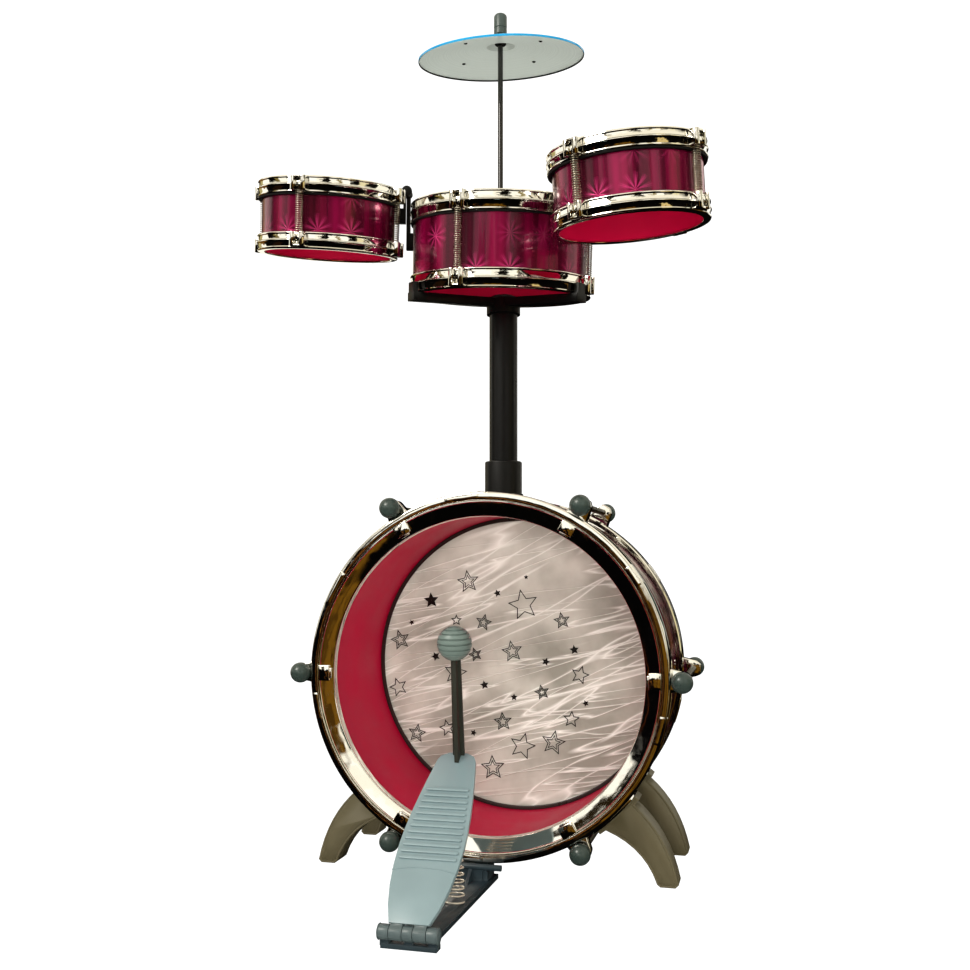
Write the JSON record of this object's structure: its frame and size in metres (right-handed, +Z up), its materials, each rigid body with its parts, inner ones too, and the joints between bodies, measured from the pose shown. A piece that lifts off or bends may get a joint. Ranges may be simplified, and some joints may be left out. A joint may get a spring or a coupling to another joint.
{
  "type": "toy drum kit",
  "caption": "Toy acoustic drum kit: bass drum on curved feet, a pole with tilting toms around a centre tom, a cymbal on a rod and a sprung foot pedal with a beater.",
  "frame": {"origin": "middle of the footprint (the bounding box's bottom face), on the floor", "axes": "+Z up; the drummer's side, with the pedal and the open face of the bass drum, towards -Y; +X to the right as seen from that side"},
  "size_m": [0.4474, 0.4594, 0.8885],
  "materials": {
    "metallic_crimson_film": "glossy crimson holographic film on a thin moulded shell",
    "chrome_plated_plastic": "mirror-bright chrome plating on moulded plastic",
    "clear_wrinkled_film": "wrinkled translucent film with printed stars",
    "white_drum_film": "plain white film",
    "grey_green_plastic": "satin grey-green plastic",
    "olive_grey_plastic": "satin olive-grey plastic",
    "black_plastic": "satin black plastic",
    "black_painted_steel": "black paint on a thin steel rod",
    "spring_steel": "bright drawn wire",
    "silver_cymbal_sheet": "silver lacquer on thin sheet with a blue rim",
    "teal_grey_plastic": "satin teal-grey plastic",
    "blue_grey_plastic": "satin blue-grey plastic"
  },
  "bodies": {
    "stand": {"bass_shell": "metallic_crimson_film", "bass_front_hoop": "chrome_plated_plastic", "bass_rear_hoop": "chrome_plated_plastic", "bass_head": "clear_wrinkled_film", "front_left_leg": "olive_grey_plastic", "front_right_leg": "olive_grey_plastic", "rear_left_leg": "olive_grey_plastic", "rear_right_leg": "olive_grey_plastic", "pole_socket": "black_plastic", "pedal_base": "blue_grey_plastic", "hinge_pin": "spring_steel", "pedal_spring": "spring_steel"},
    "upper": {"pole_tube": "black_plastic", "spider_bracket": "black_plastic", "centre_tom_shell": "metallic_crimson_film", "centre_tom_top_hoop": "chrome_plated_plastic", "centre_tom_bottom_hoop": "chrome_plated_plastic", "centre_tom_head": "white_drum_film", "centre_tom_spring_1": "spring_steel", "centre_tom_spring_2": "spring_steel", "centre_tom_spring_3": "spring_steel", "centre_tom_spring_4": "spring_steel", "left_bracket": "black_plastic", "right_bracket": "black_plastic", "cymbal_rod": "black_painted_steel", "cymbal_sleeve": "black_plastic", "cymbal_cap": "grey_green_plastic"},
    "left_tom": {"left_clip": "black_plastic", "left_tom_shell": "metallic_crimson_film", "left_tom_top_hoop": "chrome_plated_plastic", "left_tom_bottom_hoop": "chrome_plated_plastic", "left_tom_head": "white_drum_film", "left_tom_spring_1": "spring_steel", "left_tom_spring_2": "spring_steel", "left_tom_spring_3": "spring_steel", "left_tom_spring_4": "spring_steel"},
    "right_tom": {"right_clip": "black_plastic", "right_tom_shell": "metallic_crimson_film", "right_tom_top_hoop": "chrome_plated_plastic", "right_tom_bottom_hoop": "chrome_plated_plastic", "right_tom_head": "white_drum_film", "right_tom_spring_1": "spring_steel", "right_tom_spring_2": "spring_steel", "right_tom_spring_3": "spring_steel", "right_tom_spring_4": "spring_steel"},
    "left_knob_body": {"left_knob": "black_plastic"},
    "right_knob_body": {"right_knob": "black_plastic"},
    "cymbal_plate": {"cymbal": "silver_cymbal_sheet"},
    "pedal": {"pedal_plate": "teal_grey_plastic", "beater_rod": "black_plastic", "beater_ball": "grey_green_plastic"},
    "rod_1": {"tension_rod_1": "grey_green_plastic"},
    "rod_2": {"tension_rod_2": "grey_green_plastic"},
    "rod_3": {"tension_rod_3": "grey_green_plastic"},
    "rod_4": {"tension_rod_4": "grey_green_plastic"},
    "rod_5": {"tension_rod_5": "grey_green_plastic"},
    "rod_6": {"tension_rod_6": "grey_green_plastic"}
  },
  "joints": [
    {"name": "pole_swivel", "type": "hinge", "parent": "stand", "child": "upper", "pos_m": [0.01651, 0.03533, 0.3637], "axis": [0, 0, 1], "range_deg": [-60, 60]},
    {"name": "left_tom_tilt", "type": "hinge", "parent": "upper", "child": "left_tom", "pos_m": [-0.07027, -0.00325, 0.65419], "axis": [-0.236, 0.9629, 0.1308], "range_deg": [0, 15]},
    {"name": "right_tom_tilt", "type": "hinge", "parent": "upper", "child": "right_tom", "pos_m": [0.09358, -0.03401, 0.63627], "axis": [-0.5896, -0.8048, -0.068], "range_deg": [0, 15]},
    {"name": "left_knob_turn", "type": "hinge", "parent": "left_tom", "child": "left_knob_body", "pos_m": [-0.07027, -0.00325, 0.65419], "axis": [-0.236, 0.9629, 0.1308], "continuous": true},
    {"name": "right_knob_turn", "type": "hinge", "parent": "right_tom", "child": "right_knob_body", "pos_m": [0.09358, -0.03401, 0.63627], "axis": [-0.5896, -0.8048, -0.068], "continuous": true},
    {"name": "cymbal_spin", "type": "hinge", "parent": "upper", "child": "cymbal_plate", "pos_m": [-0.01199, 0.13733, 0.86186], "axis": [0.0069, -0.1857, 0.9826], "continuous": true},
    {"name": "pedal_press", "type": "hinge", "parent": "stand", "child": "pedal", "pos_m": [0.00651, -0.22367, 0.0125], "axis": [-1, 0, 0], "range_deg": [0, 24], "stiffness_Nm_per_rad": 0.6, "springref_deg": -14.32, "deforming": ["pedal_spring"]},
    {"name": "tension_rod_1_turn", "type": "hinge", "parent": "stand", "child": "rod_1", "pos_m": [0.19661, 0.03533, 0.189], "axis": [0, 1, 0], "continuous": true},
    {"name": "tension_rod_2_turn", "type": "hinge", "parent": "stand", "child": "rod_2", "pos_m": [0.10656, 0.03533, 0.34497], "axis": [0, 1, 0], "continuous": true},
    {"name": "tension_rod_3_turn", "type": "hinge", "parent": "stand", "child": "rod_3", "pos_m": [-0.07354, 0.03533, 0.34497], "axis": [0, 1, 0], "continuous": true},
    {"name": "tension_rod_4_turn", "type": "hinge", "parent": "stand", "child": "rod_4", "pos_m": [-0.16359, 0.03533, 0.189], "axis": [0, 1, 0], "continuous": true},
    {"name": "tension_rod_5_turn", "type": "hinge", "parent": "stand", "child": "rod_5", "pos_m": [-0.07354, 0.03533, 0.03303], "axis": [0, 1, 0], "continuous": true},
    {"name": "tension_rod_6_turn", "type": "hinge", "parent": "stand", "child": "rod_6", "pos_m": [0.10656, 0.03533, 0.03303], "axis": [0, 1, 0], "continuous": true}
  ]
}
